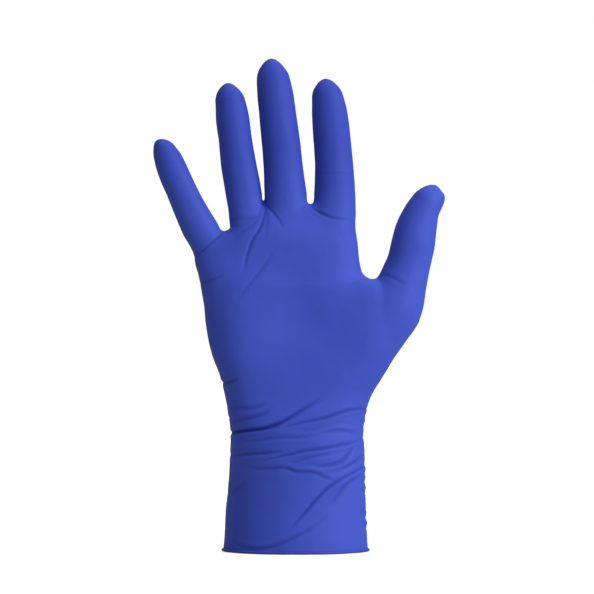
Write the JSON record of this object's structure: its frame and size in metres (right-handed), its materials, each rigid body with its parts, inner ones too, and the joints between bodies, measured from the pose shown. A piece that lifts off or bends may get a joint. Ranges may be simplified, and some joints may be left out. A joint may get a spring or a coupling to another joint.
{
  "type": "disposable nitrile glove",
  "caption": "Thin long-cuffed nitrile glove in an open-hand shape, with a rolled bead at its cuff, that bends at the wrist and finger folds.",
  "frame": {"origin": "centre of the cuff's opening, in the plane where the rolled bead ends", "axes": "+Z from the cuff to the fingertips, -Y out of the palm, +X across the palm towards the thumb"},
  "size_m": [0.1448, 0.0514, 0.2463],
  "materials": {
    "nitrile_film": "satin violet-blue dipped nitrile film, 0.12 mm",
    "nitrile_bead": "satin violet-blue nitrile, film rolled up on itself"
  },
  "bodies": {
    "cuff": {"cuff": "nitrile_film", "rolled_bead": "nitrile_bead"},
    "hand": {"palm_and_back": "nitrile_film"},
    "little_finger_base": {"little_finger_base": "nitrile_film"},
    "little_finger_middle": {"little_finger_middle": "nitrile_film"},
    "little_finger_tip": {"little_finger_tip": "nitrile_film"},
    "ring_finger_base": {"ring_finger_base": "nitrile_film"},
    "ring_finger_middle": {"ring_finger_middle": "nitrile_film"},
    "ring_finger_tip": {"ring_finger_tip": "nitrile_film"},
    "middle_finger_base": {"middle_finger_base": "nitrile_film"},
    "middle_finger_middle": {"middle_finger_middle": "nitrile_film"},
    "middle_finger_tip": {"middle_finger_tip": "nitrile_film"},
    "index_finger_base": {"index_finger_base": "nitrile_film"},
    "index_finger_middle": {"index_finger_middle": "nitrile_film"},
    "index_finger_tip": {"index_finger_tip": "nitrile_film"},
    "thumb_base": {"thumb_base": "nitrile_film"},
    "thumb_tip": {"thumb_tip": "nitrile_film"}
  },
  "joints": [
    {"name": "wrist_fold", "type": "hinge", "parent": "cuff", "child": "hand", "pos_m": [0.0005, 0, 0.06], "axis": [1, 0, 0], "range_deg": [-50, 60], "stiffness_Nm_per_rad": 0.05},
    {"name": "little_finger_base_fold", "type": "hinge", "parent": "hand", "child": "little_finger_base", "pos_m": [-0.0455, 0.001, 0.1575], "axis": [0.889, 0, 0.4579], "range_deg": [-15, 75], "stiffness_Nm_per_rad": 0.002},
    {"name": "little_finger_middle_fold", "type": "hinge", "parent": "little_finger_base", "child": "little_finger_middle", "pos_m": [-0.0558, 0.001, 0.1775], "axis": [0.9209, 0, 0.3899], "range_deg": [0, 85], "stiffness_Nm_per_rad": 0.001},
    {"name": "little_finger_tip_fold", "type": "hinge", "parent": "little_finger_middle", "child": "little_finger_tip", "pos_m": [-0.0616, 0.001, 0.1912], "axis": [0.9363, 0, 0.3511], "range_deg": [-10, 35], "stiffness_Nm_per_rad": 0.0005},
    {"name": "ring_finger_base_fold", "type": "hinge", "parent": "hand", "child": "ring_finger_base", "pos_m": [-0.0248, 0.001, 0.1685], "axis": [0.9898, 0, 0.1428], "range_deg": [-15, 75], "stiffness_Nm_per_rad": 0.002},
    {"name": "ring_finger_middle_fold", "type": "hinge", "parent": "ring_finger_base", "child": "ring_finger_middle", "pos_m": [-0.0292, 0.001, 0.199], "axis": [0.9902, 0, 0.1398], "range_deg": [0, 85], "stiffness_Nm_per_rad": 0.001},
    {"name": "ring_finger_tip_fold", "type": "hinge", "parent": "ring_finger_middle", "child": "ring_finger_tip", "pos_m": [-0.0316, 0.001, 0.216], "axis": [0.995, 0, 0.0995], "range_deg": [-10, 35], "stiffness_Nm_per_rad": 0.0005},
    {"name": "middle_finger_base_fold", "type": "hinge", "parent": "hand", "child": "middle_finger_base", "pos_m": [-0.0043, 0.001, 0.172], "axis": [0.9952, 0, 0.0979], "range_deg": [-15, 75], "stiffness_Nm_per_rad": 0.002},
    {"name": "middle_finger_middle_fold", "type": "hinge", "parent": "middle_finger_base", "child": "middle_finger_middle", "pos_m": [-0.0074, 0.001, 0.2035], "axis": [0.9946, 0, 0.1042], "range_deg": [0, 85], "stiffness_Nm_per_rad": 0.001},
    {"name": "middle_finger_tip_fold", "type": "hinge", "parent": "middle_finger_middle", "child": "middle_finger_tip", "pos_m": [-0.0096, 0.001, 0.2245], "axis": [0.993, 0, 0.1184], "range_deg": [-10, 35], "stiffness_Nm_per_rad": 0.0005},
    {"name": "index_finger_base_fold", "type": "hinge", "parent": "hand", "child": "index_finger_base", "pos_m": [0.0192, 0.001, 0.172], "axis": [0.9997, 0, 0.0226], "range_deg": [-15, 75], "stiffness_Nm_per_rad": 0.002},
    {"name": "index_finger_middle_fold", "type": "hinge", "parent": "index_finger_base", "child": "index_finger_middle", "pos_m": [0.0186, 0.001, 0.1985], "axis": [0.9961, 0, 0.0885], "range_deg": [0, 85], "stiffness_Nm_per_rad": 0.001},
    {"name": "index_finger_tip_fold", "type": "hinge", "parent": "index_finger_middle", "child": "index_finger_tip", "pos_m": [0.017, 0.001, 0.2165], "axis": [0.9944, 0, 0.1055], "range_deg": [-10, 35], "stiffness_Nm_per_rad": 0.0005},
    {"name": "thumb_base_fold", "type": "hinge", "parent": "hand", "child": "thumb_base", "pos_m": [0.0518, -0.002, 0.1325], "axis": [0.9425, -0.1662, -0.29], "range_deg": [-10, 35], "stiffness_Nm_per_rad": 0.002},
    {"name": "thumb_tip_fold", "type": "hinge", "parent": "thumb_base", "child": "thumb_tip", "pos_m": [0.0598, -0.002, 0.1585], "axis": [0.4897, -0.8482, -0.2018], "range_deg": [-10, 45], "stiffness_Nm_per_rad": 0.0005}
  ]
}
